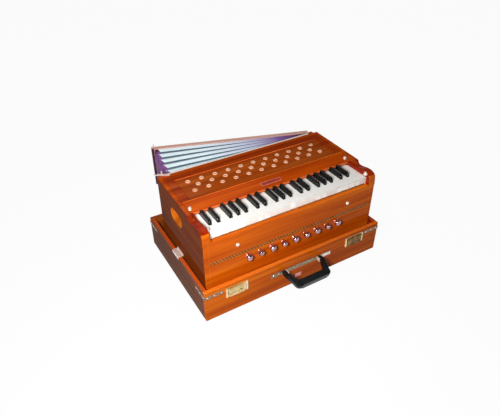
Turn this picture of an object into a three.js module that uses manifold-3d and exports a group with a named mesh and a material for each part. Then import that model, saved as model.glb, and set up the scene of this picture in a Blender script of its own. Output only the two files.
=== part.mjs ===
// Suitcase harmonium: a hand-pumped reed organ that stands raised in its open base tray.
// Millimetres. +X is the treble end, -Y is the player's side, +Z is up.
// The origin is the centre of the tray's underside.
import * as THREE from 'three';
import { mergeVertices } from 'three/addons/utils/BufferGeometryUtils.js';
import Module from 'manifold-3d';

const wasm = await Module();
wasm.setup();

// Clearances and cutting
const fitGap = 0.3;
const slideGap = 0.5;
const cutOverrun = 5;
const roundSides = 16;

// Keyboard
const whiteCount = 25;
const keyboardWidth = 544;
const whitePitch = keyboardWidth / whiteCount;
const keyGap = 0.5;
const keyVisibleLength = 93.5;
const keyHeadLength = 32;
const keyLength = 226;
const fulcrumFromFront = 131;
const keyHeight = 22.5;
const leverHeight = 15.5;
const capUnderCover = 9;
const blackWidth = 11;
const blackTopWidth = 9;
const blackRise = 13.5;
const blackNose = 5;
const blackRearGap = 3;
const blackNoseGap = 2;
const palletLength = 40;
const palletHeight = 10.2;
const keyFrontGap = 1.5;
const keyEndGap = 0.5;

// Instrument case
const cheekWidth = 25.5;
const endBlockWidth = 4;
const sideBoard = 12;
const chestSide = 16;
const frontBoard = 13.5;
const backBoard = 13;
const bottomBoard = 8;
const chestHeight = 172;
const bedThickness = 12;
const railWidth = 6;
const coveRise = 12;
const coveFromFront = 71;
const crestRise = 5.5;
const crestFromFront = 27;
const noseDrop = 20;
const noseFullness = 0.6;
const shoulderFromFront = 90;
const shoulderRise = 10.5;
const backRise = 7;
const sideFillRise = 19.5;
const palletHoleWidth = 8;
const palletHoleLength = 26;
const windHoleRadius = 18;
const windHoleSpacing = 240;
const handHoleWidth = 82;
const handHoleHeight = 44;
const handHoleWall = 3.5;
const handHoleDrop = 39;
const handHoleFromBack = 131;
const handBlockMargin = 14;

// Top cover
const coverDepth = 185.2;
const coverThickness = 8;
const coverSwingGap = 2.5;
const stripDepth = 42.5;
const stripRise = 10;
const lipThickness = 8;
const lipRise = 3.5;
const ledgeWidth = 10;
const fieldBorder = 27;
const fieldFrontBorder = 3;
const fieldRecess = 3;
const soundHoleRadius = 4.5;
const soundHolePitch = 45.8;
const soundRowSpacing = 25.5;
const soundRowCount = 3;
const soundHolesInLongRow = 11;
const frontRowFromStrip = 41.5;
const coverKnobRadius = 4;
const coverKnobHeight = 7;
const coverKnobInset = 11;
const coverKnobFromFront = 15;

// Base tray
const trayWall = 12;
const trayFloor = 8;
const trayHeight = 110;
const traySideGap = 6;
const trayFrontGap = 16;
const bellowsBayGap = 32;
const liftTravel = 40;
const landingGap = 2;
const catchLength = 46;
const catchSheet = 1.5;
const catchLip = 9;
const catchForward = 17.5;

// Bellows
const bellowsBoard = 14;
const bellowsClosed = 25;
const bellowsOpening = THREE.MathUtils.degToRad(18);
const bellowsClear = 6;
const bellowsTopDrop = 7.5;
const bellowsHingeInset = 18;
const bellowsLatchInset = 28;
const hingePost = 13;
const foldInset = 4;
const intakeCount = 6;
const intakeRadius = 6;
const intakeSpacing = 32;

// Bellows catch
const catchHookEnd = 7.5;
const catchBarWidth = 8;
const catchBarSheet = 2;
const catchBarRest = THREE.MathUtils.degToRad(149);
const catchPinRadius = 2;
const catchPinInset = 8;
const catchNotchRadius = 2.6;
const catchHeadRadius = 4.5;
const catchHeadHeight = 3;
const catchKnobRadius = 2.5;
const catchKnobHeight = 12;
const catchKnobFromPivot = 21;

// Stops
const stopCount = 9;
const stopPitch = 40;
const stopRowShift = 4.5;
const stopHeight = 111;
const stopRodRadius = 3;
const stopRodInside = 62;
const mainStopRadius = 10.5;
const droneStopRadius = 9;
const stopKnobLength = 19;
const stopNeckRadius = 7.5;
const stopFlangeRadius = 9;
const stopFlange = 3;

// Carrying handle
const handleShift = 10;
const handlePivotHeight = 69;
const handleTilt = THREE.MathUtils.degToRad(12);
const handleHalfWidth = 73;
const handleArm = 12.5;
const handleGripHalfWidth = 64;
const handleGripArm = 18;
const handleReach = 64;
const handleGripDepth = 22;
const handleArmThickness = 11;
const handleGripThickness = 18;
const handleHeel = 5.5;
const handleCorner = 18;
const handlePlateLength = 226;
const handlePlateHeight = 15;
const handlePlateThickness = 2;
const earThickness = 4;
const earHeight = 12;
const pivotPinRadius = 2;

// Draw latches
const latchSpacing = 436;
const latchPlateWidth = 72;
const latchPlateHeight = 34;
const latchPlateThickness = 1.2;
const latchHeight = 80;
const latchFlapWidth = 58;
const latchFlapHeight = 26;
const latchFlapThickness = 2.5;
const latchBarrelRadius = 2.8;
const latchTopInset = 5;

// Places along X
const keySlotHalf = keyboardWidth / 2 + keyEndGap;
const cheekInner = keySlotHalf + endBlockWidth;
const bodyHalf = cheekInner + cheekWidth;
const coverRoomHalf = bodyHalf - sideBoard;
const coverHalf = coverRoomHalf - slideGap;
const trayInnerHalf = bodyHalf + traySideGap;
const trayHalf = trayInnerHalf + trayWall;
const hingeX = bodyHalf - bellowsHingeInset;
const bellowsLeft = -bodyHalf + bellowsLatchInset;
const bellowsWidth = hingeX - bellowsLeft;
const catchPivotX = bellowsLeft + catchPinInset;

// Places along Y
const bodyDepth = frontBoard + keyFrontGap + keyVisibleLength + coverDepth + fitGap + backBoard;
const trayDepth = trayWall + trayFrontGap + bodyDepth + bellowsClosed + bellowsBoard + bellowsBayGap + trayWall;
const trayFront = -trayDepth / 2;
const trayBack = trayDepth / 2;
const bodyFront = trayFront + trayWall + trayFrontGap;
const bodyBack = bodyFront + bodyDepth;
const keyFront = bodyFront + frontBoard + keyFrontGap;
const blackFront = keyFront + keyHeadLength;
const fulcrum = keyFront + fulcrumFromFront;
const keyTail = keyFront + keyLength;
const coverFront = keyFront + keyVisibleLength;
const coverBack = coverFront + coverDepth;
const coverFlatFront = coverFront + stripDepth;
const cheekBack = coverFront - coverSwingGap;
const shoulder = bodyFront + shoulderFromFront;
const cove = bodyFront + coveFromFront;
const crest = bodyFront + crestFromFront;
const handHolePlace = bodyBack - handHoleFromBack;
const sideCatchPlace = (bodyFront + bodyBack) / 2 + catchForward;
const hingeY = bodyBack + bellowsClosed;
const catchPivotY = bodyBack - backBoard / 2;
const catchBarReach = hingeY + bellowsBoard / 2 - catchPivotY;
const catchBarLength = catchBarReach + catchHookEnd;
const handleHeelRoom = Math.hypot(handleHeel, handleArmThickness / 2) + slideGap;
const handlePivotY = trayFront - handlePlateThickness - handleHeelRoom;

// Places along Z
const bodyBottom = trayFloor + liftTravel + landingGap;
const chestFloor = bodyBottom + bottomBoard;
const bedUnder = chestFloor + chestHeight;
const bedTop = bedUnder + bedThickness;
const keyBottom = bedTop + fitGap + palletHeight;
const whiteTop = keyBottom + keyHeight;
const leverTop = keyBottom + leverHeight;
const blackTop = whiteTop + blackRise;
const coveTop = whiteTop + coveRise;
const crestTop = coveTop + crestRise;
const shoulderTop = coveTop + shoulderRise;
const backTop = shoulderTop + backRise;
const sideFillTop = keyBottom + sideFillRise;
const lipBottom = whiteTop + lipRise;
const stripLow = whiteTop + stripRise;
const bellowsBottom = trayHeight + liftTravel + bellowsClear;
const bellowsTop = backTop - bellowsTopDrop;
const handHoleCentre = whiteTop - handHoleDrop;
const stopZ = bodyBottom + stopHeight;
const catchFloor = backTop + slideGap;
const pinTop = catchFloor + catchBarSheet + catchHeadHeight / 2;

// Finishes
function finish(color, roughness, metalness = 0) {
  return new THREE.MeshStandardMaterial({ color, roughness, metalness });
}

const caseWood = () => finish(0xa8440f, 0.25);
const trayWood = () => finish(0xb04c12, 0.28);
const keyWhite = () => finish(0xf4f1ea, 0.2);
const keyBlack = () => finish(0x121214, 0.15);
const nickel = () => finish(0xc9c6c2, 0.2, 1);
const brass = () => finish(0xc9b45a, 0.3, 1);
const blackPlastic = () => finish(0x17191b, 0.45);
const bellowsCloth = () => finish(0xa9dbe8, 0.7);

// Solids
function solid(geometry) {
  const bare = geometry.clone();
  bare.deleteAttribute('normal');
  bare.deleteAttribute('uv');
  const merged = mergeVertices(bare);
  const mesh = new wasm.Mesh({
    numProp: 3,
    vertProperties: new Float32Array(merged.attributes.position.array),
    triVerts: new Uint32Array(merged.index.array),
  });
  return new wasm.Manifold(mesh);
}

function box(low, high) {
  const size = new THREE.Vector3().subVectors(high, low);
  const geometry = new THREE.BoxGeometry(size.x, size.y, size.z);
  geometry.translate((low.x + high.x) / 2, (low.y + high.y) / 2, (low.z + high.z) / 2);
  return solid(geometry);
}

function block(x0, x1, y0, y1, z0, z1) {
  return box(new THREE.Vector3(x0, y0, z0), new THREE.Vector3(x1, y1, z1));
}

function extrude(shape, depth) {
  return new THREE.ExtrudeGeometry(shape, { depth, bevelEnabled: false, curveSegments: roundSides / 2 });
}

// A (y, z) outline drawn out along X
function alongX(shape, x0, x1) {
  const geometry = extrude(shape, x1 - x0);
  const turn = new THREE.Matrix4().makeBasis(
    new THREE.Vector3(0, 1, 0),
    new THREE.Vector3(0, 0, 1),
    new THREE.Vector3(1, 0, 0),
  );
  geometry.applyMatrix4(turn);
  geometry.translate(x0, 0, 0);
  return solid(geometry);
}

// An (x, y) outline drawn out along Z
function alongZ(shape, z0, z1) {
  const geometry = extrude(shape, z1 - z0);
  geometry.translate(0, 0, z0);
  return solid(geometry);
}

// An (x, z) outline drawn out along Y
function alongY(shape, y0, y1) {
  const geometry = extrude(shape, y1 - y0);
  geometry.rotateX(Math.PI / 2);
  geometry.translate(0, y1, 0);
  return solid(geometry);
}

function outline(points) {
  return new THREE.Shape(points.map(([a, b]) => new THREE.Vector2(a, b)));
}

const axisTurns = {
  x: (geometry) => geometry.rotateZ(-Math.PI / 2),
  y: (geometry) => geometry,
  z: (geometry) => geometry.rotateX(Math.PI / 2),
};

function rod(axis, radius, length, x, y, z) {
  const geometry = new THREE.CylinderGeometry(radius, radius, length, roundSides);
  axisTurns[axis](geometry);
  geometry.translate(x, y, z);
  return solid(geometry);
}

function join(parts) {
  return parts.reduce((sum, part) => sum.add(part));
}

function cut(body, tools) {
  return tools.reduce((rest, tool) => rest.subtract(tool), body);
}

const harmonium = new THREE.Group();

function place(name, body, material, parent = harmonium) {
  const { vertProperties, triVerts } = body.getMesh();
  const geometry = new THREE.BufferGeometry();
  geometry.setAttribute('position', new THREE.BufferAttribute(vertProperties, 3));
  geometry.setIndex(new THREE.BufferAttribute(triVerts, 1));
  geometry.computeVertexNormals();
  const mesh = new THREE.Mesh(geometry, material);
  mesh.name = name;
  parent.add(mesh);
  return mesh;
}

const bothSides = [-1, 1];

// Height of the case's top line at a place y: it climbs gently from the shoulder to the back
function topAt(y) {
  return shoulderTop + (backRise * (y - shoulder)) / (bodyBack - shoulder);
}

// Height of the cover's sloping front strip at a place y
function stripAt(y) {
  return stripLow + ((topAt(coverFlatFront) - stripLow) * (y - coverFront)) / stripDepth;
}

// Base tray
function sideCatch(side) {
  const lipFace = bodyHalf + slideGap;
  const low = sideCatchPlace - catchLength / 2;
  const high = sideCatchPlace + catchLength / 2;
  const plate = block(lipFace, trayHalf - catchSheet, low, high, trayHeight, trayHeight + catchSheet);
  const lip = block(lipFace, lipFace + catchSheet, low, high, trayHeight, trayHeight + catchLip);
  const angle = plate.add(lip);
  return side > 0 ? angle : angle.mirror([1, 0, 0]);
}

function handlePlate() {
  const face = trayFront - handlePlateThickness;
  const half = handlePlateLength / 2;
  const lowZ = handlePivotHeight - handlePlateHeight / 2;
  const plate = block(handleShift - half, handleShift + half, face, trayFront, lowZ, lowZ + handlePlateHeight);
  const earInner = handleHalfWidth - handleArm - fitGap - earThickness;
  const ears = bothSides.map((side) => {
    const near = handleShift + side * earInner;
    const far = handleShift + side * (earInner + earThickness);
    const tongue = block(
      Math.min(near, far),
      Math.max(near, far),
      handlePivotY,
      face,
      handlePivotHeight - earHeight / 2,
      handlePivotHeight + earHeight / 2,
    );
    const nose = rod('x', earHeight / 2, earThickness, (near + far) / 2, handlePivotY, handlePivotHeight);
    const hole = rod('x', pivotPinRadius + fitGap, bodyHalf, (near + far) / 2, handlePivotY, handlePivotHeight);
    return tongue.add(nose).subtract(hole);
  });
  return join([plate, ...ears]);
}

function latchPlate(side) {
  const centre = (side * latchSpacing) / 2;
  return block(
    centre - latchPlateWidth / 2,
    centre + latchPlateWidth / 2,
    trayFront - latchPlateThickness,
    trayFront,
    latchHeight - latchPlateHeight / 2,
    latchHeight + latchPlateHeight / 2,
  );
}

function baseTray() {
  const shell = block(-trayHalf, trayHalf, trayFront, trayBack, 0, trayHeight);
  const hollow = block(
    -trayInnerHalf,
    trayInnerHalf,
    trayFront + trayWall,
    trayBack - trayWall,
    trayFloor,
    trayHeight + cutOverrun,
  );
  const fittings = bothSides.flatMap((side) => [sideCatch(side), latchPlate(side)]);
  return join([shell.subtract(hollow), handlePlate(), ...fittings]);
}

// Instrument case
function curveSoftly(shape, y, z) {
  const from = shape.currentPoint;
  const middle = (from.x + y) / 2;
  shape.bezierCurveTo(middle, from.y, middle, z, y, z);
}

// The cheeks are scrolled: a shoulder, a shallow cove, a crest and a full round nose
function sideOutline() {
  const noseEnd = crestTop - noseDrop;
  const noseStart = crest - crestFromFront * noseFullness;
  const shape = new THREE.Shape();
  shape.moveTo(bodyFront, bodyBottom);
  shape.lineTo(bodyBack, bodyBottom);
  shape.lineTo(bodyBack, backTop);
  shape.lineTo(shoulder, shoulderTop);
  curveSoftly(shape, cove, coveTop);
  curveSoftly(shape, crest, crestTop);
  shape.bezierCurveTo(noseStart, crestTop, bodyFront, noseEnd + noseDrop * noseFullness, bodyFront, noseEnd);
  shape.closePath();
  return shape;
}

function chestRoom() {
  const half = bodyHalf - chestSide;
  const room = block(-half, half, bodyFront + frontBoard, bodyBack - backBoard, chestFloor, bedUnder);
  const blocks = bothSides.map((side) => {
    const inner = side * keySlotHalf;
    const outer = side * bodyHalf;
    return block(
      Math.min(inner, outer),
      Math.max(inner, outer),
      handHolePlace - handHoleWidth / 2 - handBlockMargin,
      handHolePlace + handHoleWidth / 2 + handBlockMargin,
      handHoleCentre - handHoleHeight / 2 - handBlockMargin,
      bedUnder,
    );
  });
  return cut(room, blocks);
}

// Rooms above the key bed: the key slot between its end blocks, the action room and the seat of the top cover
function upperRooms() {
  const above = backTop + cutOverrun;
  const keySlot = block(-keySlotHalf, keySlotHalf, bodyFront + frontBoard, bodyBack - backBoard, bedTop, above);
  const frontGapAboveBoard = block(
    -cheekInner,
    cheekInner,
    bodyFront - cutOverrun,
    bodyFront + frontBoard + keyFrontGap,
    keyBottom,
    above,
  );
  const roomOverEndBlocks = block(-cheekInner, cheekInner, bodyFront - cutOverrun, coverFront, whiteTop, above);
  const roomBeforeStrip = block(-coverRoomHalf, coverRoomHalf, cove, coverFront, coveTop, above);
  const sideRoom = block(
    -coverRoomHalf + ledgeWidth,
    coverRoomHalf - ledgeWidth,
    cheekBack,
    bodyBack - backBoard,
    sideFillTop,
    above,
  );
  const seat = alongX(
    outline([
      [cheekBack, lipBottom - fitGap],
      [coverFront + lipThickness + fitGap, lipBottom - fitGap],
      [coverFront + lipThickness + fitGap, stripAt(coverFront + lipThickness) - coverThickness - fitGap],
      [coverFlatFront, topAt(coverFlatFront) - coverThickness - fitGap],
      [bodyBack - backBoard, topAt(coverBack) - coverThickness - fitGap],
      [bodyBack - backBoard, above],
      [cheekBack, above],
    ]),
    -coverRoomHalf,
    coverRoomHalf,
  );
  return [keySlot, frontGapAboveBoard, roomOverEndBlocks, roomBeforeStrip, sideRoom, seat];
}

function handHole(side) {
  const round = handHoleHeight / 2;
  const flat = handHoleWidth / 2 - round;
  const shape = new THREE.Shape();
  shape.absarc(handHolePlace + flat, handHoleCentre, round, -Math.PI / 2, Math.PI / 2, false);
  shape.absarc(handHolePlace - flat, handHoleCentre, round, Math.PI / 2, (3 * Math.PI) / 2, false);
  shape.closePath();
  const inner = keySlotHalf + handHoleWall;
  const outer = bodyHalf + cutOverrun;
  return side > 0 ? alongX(shape, inner, outer) : alongX(shape, -outer, -inner);
}

function stopX(index) {
  return (index - (stopCount - 1) / 2) * stopPitch - stopRowShift;
}

function stopHoles() {
  return Array.from({ length: stopCount }, (_, index) =>
    rod('y', stopRodRadius + slideGap, frontBoard + 2 * cutOverrun, stopX(index), bodyFront + frontBoard / 2, stopZ),
  );
}

function palletHoles() {
  const centre = keyTail - palletLength / 2;
  return keys.map((key) =>
    block(
      key.tailCentre - palletHoleWidth / 2,
      key.tailCentre + palletHoleWidth / 2,
      centre - palletHoleLength / 2,
      centre + palletHoleLength / 2,
      bedUnder - cutOverrun,
      bedTop + cutOverrun,
    ),
  );
}

function windHoles() {
  return bothSides.map((side) =>
    rod(
      'y',
      windHoleRadius,
      backBoard + 2 * cutOverrun,
      (side * windHoleSpacing) / 2,
      bodyBack - backBoard / 2,
      bellowsBottom + windHoleRadius * 2,
    ),
  );
}

function instrumentCase() {
  const blank = alongX(sideOutline(), -bodyHalf, bodyHalf);
  const carved = cut(blank, [
    chestRoom(),
    ...upperRooms(),
    ...stopHoles(),
    ...palletHoles(),
    ...windHoles(),
    ...bothSides.map(handHole),
  ]);
  const balanceRail = block(
    -keySlotHalf,
    keySlotHalf,
    fulcrum - railWidth / 2,
    fulcrum + railWidth / 2,
    bedUnder,
    keyBottom - fitGap,
  );
  const post = block(
    hingeX + fitGap,
    hingeX + fitGap + hingePost,
    bodyBack - backBoard,
    bodyBack + bellowsClosed - slideGap,
    bellowsBottom,
    bellowsTop,
  );
  return join([carved, balanceRail, post]);
}

// Keys: three octaves and a fourth from C, the tails spaced evenly within C-E and within F-B
const octaveWhites = 7;
const lowGroupWhites = 3;
const highGroupWhites = 4;
const lowGroupTails = 5;
const highGroupTails = 7;
const lowGroupBlacks = [1, 3];
const highGroupBlacks = [1, 3, 5];

function blackCentres() {
  const centres = [];
  const left = -keyboardWidth / 2;
  for (let start = 0; start < whiteCount; start += octaveWhites) {
    const low = left + start * whitePitch;
    const high = low + lowGroupWhites * whitePitch;
    const lowStep = (lowGroupWhites * whitePitch) / lowGroupTails;
    const highStep = (highGroupWhites * whitePitch) / highGroupTails;
    lowGroupBlacks.forEach((tail) => centres.push(low + (tail + 0.5) * lowStep));
    if (start + octaveWhites <= whiteCount) {
      highGroupBlacks.forEach((tail) => centres.push(high + (tail + 0.5) * highStep));
    }
  }
  return centres;
}

function whiteKeys(blacks) {
  return Array.from({ length: whiteCount }, (_, index) => {
    const left = -keyboardWidth / 2 + index * whitePitch;
    const right = left + whitePitch;
    const room = blackWidth / 2 + keyGap;
    const leftBlack = blacks.find((centre) => Math.abs(centre - left) < room);
    const rightBlack = blacks.find((centre) => Math.abs(centre - right) < room);
    const tailLeft = leftBlack === undefined ? left + keyGap / 2 : leftBlack + room;
    const tailRight = rightBlack === undefined ? right - keyGap / 2 : rightBlack - room;
    return { white: true, left, right, tailLeft, tailRight, tailCentre: (tailLeft + tailRight) / 2 };
  });
}

function blackKeys(blacks) {
  return blacks.map((centre) => ({
    white: false,
    tailLeft: centre - blackWidth / 2,
    tailRight: centre + blackWidth / 2,
    tailCentre: centre,
  }));
}

const blackPlaces = blackCentres();
const keys = [...whiteKeys(blackPlaces), ...blackKeys(blackPlaces)].sort((a, b) => a.tailCentre - b.tailCentre);

function keyPallet(key) {
  return block(key.tailLeft, key.tailRight, keyTail - palletLength, keyTail, bedTop + fitGap, keyBottom + fitGap);
}

function whiteKey(key) {
  const headEnd = blackFront - blackNoseGap;
  const capEnd = coverFront + capUnderCover;
  const cap = alongZ(
    outline([
      [key.left + keyGap / 2, keyFront],
      [key.right - keyGap / 2, keyFront],
      [key.right - keyGap / 2, headEnd],
      [key.tailRight, headEnd],
      [key.tailRight, capEnd],
      [key.tailLeft, capEnd],
      [key.tailLeft, headEnd],
      [key.left + keyGap / 2, headEnd],
    ]),
    keyBottom,
    whiteTop,
  );
  const lever = block(key.tailLeft, key.tailRight, headEnd, keyTail, keyBottom, leverTop);
  return join([cap, lever, keyPallet(key)]);
}

function blackKey(key) {
  const rear = coverFront - blackRearGap;
  const profile = outline([
    [blackFront, keyBottom],
    [rear, keyBottom],
    [rear, blackTop],
    [blackFront + blackNose, blackTop],
    [blackFront, whiteTop],
  ]);
  const section = outline([
    [key.tailLeft, keyBottom],
    [key.tailRight, keyBottom],
    [key.tailRight, whiteTop],
    [key.tailCentre + blackTopWidth / 2, blackTop],
    [key.tailCentre - blackTopWidth / 2, blackTop],
    [key.tailLeft, whiteTop],
  ]);
  const sharp = alongX(profile, key.tailLeft, key.tailRight).intersect(alongY(section, blackFront, rear));
  const lever = block(key.tailLeft, key.tailRight, blackFront + blackNose, keyTail, keyBottom, leverTop);
  return join([sharp, lever, keyPallet(key)]);
}

const noteNames = ['c', 'c_sharp', 'd', 'd_sharp', 'e', 'f', 'f_sharp', 'g', 'g_sharp', 'a', 'a_sharp', 'b'];

function keyName(index) {
  const octave = Math.floor(index / noteNames.length) + 1;
  return `key_${octave}_${noteNames[index % noteNames.length]}`;
}

// Top cover
function coverOutline() {
  return outline([
    [coverFront, lipBottom],
    [coverFront + lipThickness, lipBottom],
    [coverFront + lipThickness, stripAt(coverFront + lipThickness) - coverThickness],
    [coverFlatFront, topAt(coverFlatFront) - coverThickness],
    [coverBack, topAt(coverBack) - coverThickness],
    [coverBack, topAt(coverBack)],
    [coverFlatFront, topAt(coverFlatFront)],
    [coverFront, stripLow],
  ]);
}

function fieldCut() {
  const front = coverFlatFront + fieldFrontBorder;
  const back = coverBack - fieldBorder;
  return alongX(
    outline([
      [front, topAt(front) - fieldRecess],
      [back, topAt(back) - fieldRecess],
      [back, topAt(back) + cutOverrun],
      [front, topAt(front) + cutOverrun],
    ]),
    -coverHalf + fieldBorder,
    coverHalf - fieldBorder,
  );
}

// Staggered rows: the middle row has one hole fewer and stands half a pitch aside
function soundHoles() {
  const holes = [];
  for (let row = 0; row < soundRowCount; row += 1) {
    const count = soundHolesInLongRow - (row % 2);
    const y = coverFlatFront + frontRowFromStrip + row * soundRowSpacing;
    for (let index = 0; index < count; index += 1) {
      const x = (index - (count - 1) / 2) * soundHolePitch;
      holes.push(rod('z', soundHoleRadius, coverThickness * 2 + cutOverrun, x, y, topAt(y)));
    }
  }
  return holes;
}

function coverKnob(side) {
  const slope = Math.atan2(topAt(coverFlatFront) - stripLow, stripDepth);
  const rooted = coverThickness / 2;
  const length = coverKnobHeight + rooted;
  const geometry = new THREE.CylinderGeometry(coverKnobRadius, coverKnobRadius, length, roundSides);
  geometry.translate(0, length / 2 - rooted, 0);
  geometry.rotateX(Math.PI / 2 + slope);
  const y = coverFront + coverKnobFromFront;
  geometry.translate(side * (coverHalf - coverKnobInset), y, stripAt(y));
  return solid(geometry);
}

function topCover() {
  const panel = alongX(coverOutline(), -coverHalf, coverHalf);
  const pierced = cut(panel, [fieldCut(), ...soundHoles()]);
  return join([pierced, ...bothSides.map(coverKnob)]);
}

// Bellows
const bellowsPivot = new THREE.Group();
bellowsPivot.position.set(hingeX, hingeY, 0);
bellowsPivot.rotation.z = -bellowsOpening;
harmonium.add(bellowsPivot);

// The board is drawn shut, with the hinge line as its zero, and hangs in the opened group
function bellowsBoardSolid() {
  const panel = block(-bellowsWidth, 0, 0, bellowsBoard, bellowsBottom, bellowsTop);
  const pin = rod(
    'z',
    catchPinRadius,
    pinTop - bellowsTop + cutOverrun,
    -bellowsWidth + catchPinInset,
    bellowsBoard / 2,
    (pinTop + bellowsTop - cutOverrun) / 2,
  );
  const intakes = Array.from({ length: intakeCount }, (_, index) =>
    rod(
      'y',
      intakeRadius,
      bellowsBoard + 2 * cutOverrun,
      -bellowsWidth / 2 + (index - (intakeCount - 1) / 2) * intakeSpacing,
      bellowsBoard / 2,
      (bellowsBottom + bellowsTop) / 2,
    ),
  );
  return cut(panel.add(pin), intakes);
}

function bellowsFolds() {
  const right = hingeX - fitGap;
  const left = bellowsLeft + foldInset;
  const reach = (hingeX - left) * Math.cos(bellowsOpening);
  const swing = (hingeX - left) * Math.sin(bellowsOpening);
  const plan = outline([
    [left, bodyBack + fitGap],
    [right, bodyBack + fitGap],
    [right, hingeY - slideGap],
    [hingeX - reach, hingeY + swing - slideGap],
  ]);
  return alongZ(plan, bellowsBottom + foldInset, bellowsTop - foldInset);
}

// Bellows catch: a hooked bar on the back edge that swings over to a pin on the bellows board
function bellowsCatch() {
  const half = catchBarWidth / 2;
  const plan = new THREE.Shape();
  plan.absarc(0, 0, half, Math.PI / 2, (3 * Math.PI) / 2, false);
  plan.lineTo(catchBarLength, -half);
  plan.lineTo(catchBarLength, half);
  plan.closePath();
  const bar = alongZ(plan, catchFloor, catchFloor + catchBarSheet);
  const mid = catchFloor + catchBarSheet / 2;
  const notch = join([
    rod('z', catchNotchRadius, catchBarSheet + 2 * cutOverrun, catchBarReach, 0, mid),
    block(
      catchBarReach - catchNotchRadius,
      catchBarReach + catchNotchRadius,
      -half - cutOverrun,
      0,
      catchFloor - cutOverrun,
      catchFloor + catchBarSheet + cutOverrun,
    ),
  ]);
  const head = rod('z', catchHeadRadius, catchHeadHeight, 0, 0, catchFloor + catchBarSheet + catchHeadHeight / 2);
  const knob = rod(
    'z',
    catchKnobRadius,
    catchKnobHeight,
    catchKnobFromPivot,
    0,
    catchFloor + catchBarSheet + catchKnobHeight / 2,
  );
  return join([bar.subtract(notch), head, knob]);
}

const catchPivot = new THREE.Group();
catchPivot.position.set(catchPivotX, catchPivotY, 0);
catchPivot.rotation.z = catchBarRest;
harmonium.add(catchPivot);

// Stops: odd ones open the main reeds, even ones the drones
function stopKnob(radius) {
  const neckEnd = stopFlange + (stopKnobLength - stopFlange) / 3;
  const shape = new THREE.Path();
  shape.moveTo(0, -stopRodInside);
  shape.lineTo(stopRodRadius, -stopRodInside);
  shape.lineTo(stopRodRadius, 0);
  shape.lineTo(stopFlangeRadius, 0);
  shape.lineTo(stopFlangeRadius, stopFlange);
  shape.lineTo(stopNeckRadius, neckEnd);
  shape.lineTo(radius, (neckEnd + stopKnobLength) / 2);
  shape.quadraticCurveTo(radius, stopKnobLength, radius / 2, stopKnobLength);
  shape.lineTo(0, stopKnobLength);
  return new THREE.LatheGeometry(shape.getPoints(roundSides / 4), roundSides);
}

function drawStop(index) {
  const radius = index % 2 === 0 ? mainStopRadius : droneStopRadius;
  const geometry = stopKnob(radius);
  geometry.rotateX(Math.PI);
  geometry.translate(stopX(index), bodyFront - fitGap, stopZ);
  return solid(geometry);
}

// Carrying handle, drawn flat with the pivot line as its zero and the grip along +Y
function handleOutline() {
  const shape = new THREE.Shape();
  const inner = handleHalfWidth - handleArm;
  const gripInner = handleGripHalfWidth - handleGripArm;
  const gripStart = handleReach - handleGripDepth;
  shape.moveTo(-handleHalfWidth, -handleHeel);
  shape.lineTo(-inner, -handleHeel);
  shape.lineTo(-inner, handleHeel);
  shape.lineTo(-gripInner, gripStart);
  shape.lineTo(gripInner, gripStart);
  shape.lineTo(inner, handleHeel);
  shape.lineTo(inner, -handleHeel);
  shape.lineTo(handleHalfWidth, -handleHeel);
  shape.lineTo(handleHalfWidth, handleHeel);
  shape.lineTo(handleGripHalfWidth, handleReach - handleCorner);
  shape.quadraticCurveTo(handleGripHalfWidth, handleReach, handleGripHalfWidth - handleCorner, handleReach);
  shape.lineTo(handleCorner - handleGripHalfWidth, handleReach);
  shape.quadraticCurveTo(-handleGripHalfWidth, handleReach, -handleGripHalfWidth, handleReach - handleCorner);
  shape.lineTo(-handleHalfWidth, handleHeel);
  shape.closePath();
  return shape;
}

function carryingHandle() {
  const frame = alongZ(handleOutline(), -handleArmThickness / 2, handleArmThickness / 2);
  const gripHalf = handleGripHalfWidth - handleCorner;
  const grip = block(
    -gripHalf,
    gripHalf,
    handleReach - handleGripDepth,
    handleReach,
    -handleGripThickness / 2,
    handleGripThickness / 2,
  );
  const pinLength = earThickness + handleArm;
  const pinCentre = handleHalfWidth - pinLength / 2;
  const pins = bothSides.map((side) => rod('x', pivotPinRadius, pinLength, side * pinCentre, 0, 0));
  return join([frame, grip, ...pins]);
}

const handlePivot = new THREE.Group();
handlePivot.position.set(handleShift, handlePivotY, handlePivotHeight);
handlePivot.rotation.x = handleTilt;
handlePivot.rotation.z = Math.PI;
harmonium.add(handlePivot);

// Latch flap, hanging from its barrel
function latchFlap(side) {
  const centre = (side * latchSpacing) / 2;
  const plateFace = trayFront - latchPlateThickness - fitGap;
  const barrelZ = latchHeight + latchPlateHeight / 2 - latchTopInset;
  const barrelY = plateFace - latchBarrelRadius;
  const barrel = rod('x', latchBarrelRadius, latchFlapWidth, centre, barrelY, barrelZ);
  const flap = block(
    centre - latchFlapWidth / 2,
    centre + latchFlapWidth / 2,
    barrelY - latchFlapThickness / 2,
    barrelY + latchFlapThickness / 2,
    barrelZ - latchFlapHeight,
    barrelZ,
  );
  return barrel.add(flap);
}

// Assembly
place('base_tray', baseTray(), trayWood());
place('instrument_case', instrumentCase(), caseWood());
place('top_cover', topCover(), caseWood());
place('bellows_board', bellowsBoardSolid(), caseWood(), bellowsPivot);
place('bellows_folds', bellowsFolds(), bellowsCloth());
place('bellows_catch', bellowsCatch(), nickel(), catchPivot);
place('carrying_handle', carryingHandle(), blackPlastic(), handlePivot);
place('latch_left', latchFlap(-1), brass());
place('latch_right', latchFlap(1), brass());

for (let index = 0; index < stopCount; index += 1) {
  place(`stop_${index + 1}`, drawStop(index), nickel());
}

keys.forEach((key, index) => {
  const body = key.white ? whiteKey(key) : blackKey(key);
  place(keyName(index), body, key.white ? keyWhite() : keyBlack());
});

export default harmonium;
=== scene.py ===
from math import atan2, cos, pi, radians, sin, tan

import bmesh
import bpy
from mathutils import Matrix, Vector


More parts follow.
